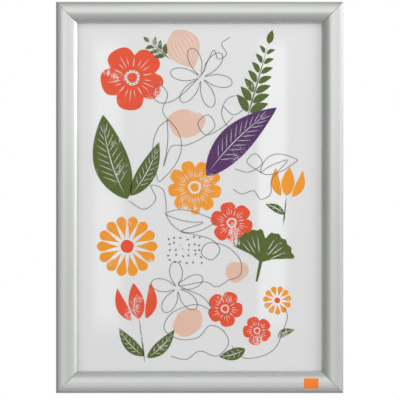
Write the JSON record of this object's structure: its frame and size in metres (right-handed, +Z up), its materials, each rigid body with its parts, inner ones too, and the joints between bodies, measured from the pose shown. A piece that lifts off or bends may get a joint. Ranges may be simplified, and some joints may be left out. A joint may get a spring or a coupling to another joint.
{
  "type": "poster frame",
  "caption": "Wall-hung poster frame for an A3 sheet, of rounded mitred aluminium profiles whose hinged snap covers open to the front.",
  "frame": {"origin": "on the wall plane, at the middle of the top rail's back face, on the line of its screw holes", "axes": "+Z up along the frame's height, +Y into the wall, +X to the right as seen from the front"},
  "size_m": [0.3404, 0.0125, 0.4635],
  "materials": {
    "rail": "satin anodised extrusion",
    "cover": "satin anodised extrusion",
    "spring": "bright spring steel strip",
    "key": "zinc plated",
    "panel": "plain polystyrene sheet",
    "poster": "uncoated printed paper",
    "clear_sheet": "clear anti-glare sheet"
  },
  "bodies": {
    "frame": {"base_rail_top": "rail", "base_rail_bottom": "rail", "base_rail_left": "rail", "base_rail_right": "rail", "corner_key_top_right": "key", "corner_key_bottom_right": "key", "corner_key_bottom_left": "key", "corner_key_top_left": "key", "back_panel": "panel", "poster": "poster", "cover_sheet": "clear_sheet"},
    "cover_top": {"snap_cover_top": "cover"},
    "cover_bottom": {"snap_cover_bottom": "cover"},
    "cover_left": {"snap_cover_left": "cover"},
    "cover_right": {"snap_cover_right": "cover"},
    "springs_top": {"leaf_spring_top_1": "spring", "leaf_spring_top_2": "spring"},
    "springs_bottom": {"leaf_spring_bottom_1": "spring", "leaf_spring_bottom_2": "spring"},
    "springs_left": {"leaf_spring_left_1": "spring", "leaf_spring_left_2": "spring"},
    "springs_right": {"leaf_spring_right_1": "spring", "leaf_spring_right_2": "spring"}
  },
  "joints": [
    {"name": "cover_hinge_top", "type": "hinge", "parent": "frame", "child": "cover_top", "pos_m": [0, -0.0074, 0.005], "axis": [-1, 0, 0], "range_deg": [0, 95]},
    {"name": "cover_hinge_bottom", "type": "hinge", "parent": "frame", "child": "cover_bottom", "pos_m": [0, -0.0074, -0.4539], "axis": [1, 0, 0], "range_deg": [0, 95]},
    {"name": "cover_hinge_left", "type": "hinge", "parent": "frame", "child": "cover_left", "pos_m": [-0.16795, -0.0074, -0.22445], "axis": [0, 0, -1], "range_deg": [0, 95]},
    {"name": "cover_hinge_right", "type": "hinge", "parent": "frame", "child": "cover_right", "pos_m": [0.16795, -0.0074, -0.22445], "axis": [0, 0, 1], "range_deg": [0, 95]},
    {"name": "spring_rock_top", "type": "hinge", "parent": "frame", "child": "springs_top", "pos_m": [0, -0.0022, -0.00425], "axis": [-1, 0, 0], "range_deg": [-41, 0.5], "deforming": ["leaf_spring_top_1", "leaf_spring_top_2"]},
    {"name": "spring_rock_bottom", "type": "hinge", "parent": "frame", "child": "springs_bottom", "pos_m": [0, -0.0022, -0.44465], "axis": [1, 0, 0], "range_deg": [-41, 0.5], "deforming": ["leaf_spring_bottom_1", "leaf_spring_bottom_2"]},
    {"name": "spring_rock_left", "type": "hinge", "parent": "frame", "child": "springs_left", "pos_m": [-0.1587, -0.0022, -0.22445], "axis": [0, 0, -1], "range_deg": [-41, 0.5], "deforming": ["leaf_spring_left_1", "leaf_spring_left_2"]},
    {"name": "spring_rock_right", "type": "hinge", "parent": "frame", "child": "springs_right", "pos_m": [0.1587, -0.0022, -0.22445], "axis": [0, 0, 1], "range_deg": [-41, 0.5], "deforming": ["leaf_spring_right_1", "leaf_spring_right_2"]}
  ],
  "couplings": [
    {"joint": "spring_rock_top", "follows": "cover_hinge_top", "ratio": -0.4308},
    {"joint": "spring_rock_bottom", "follows": "cover_hinge_bottom", "ratio": -0.4308},
    {"joint": "spring_rock_left", "follows": "cover_hinge_left", "ratio": -0.4308},
    {"joint": "spring_rock_right", "follows": "cover_hinge_right", "ratio": -0.4308}
  ]
}
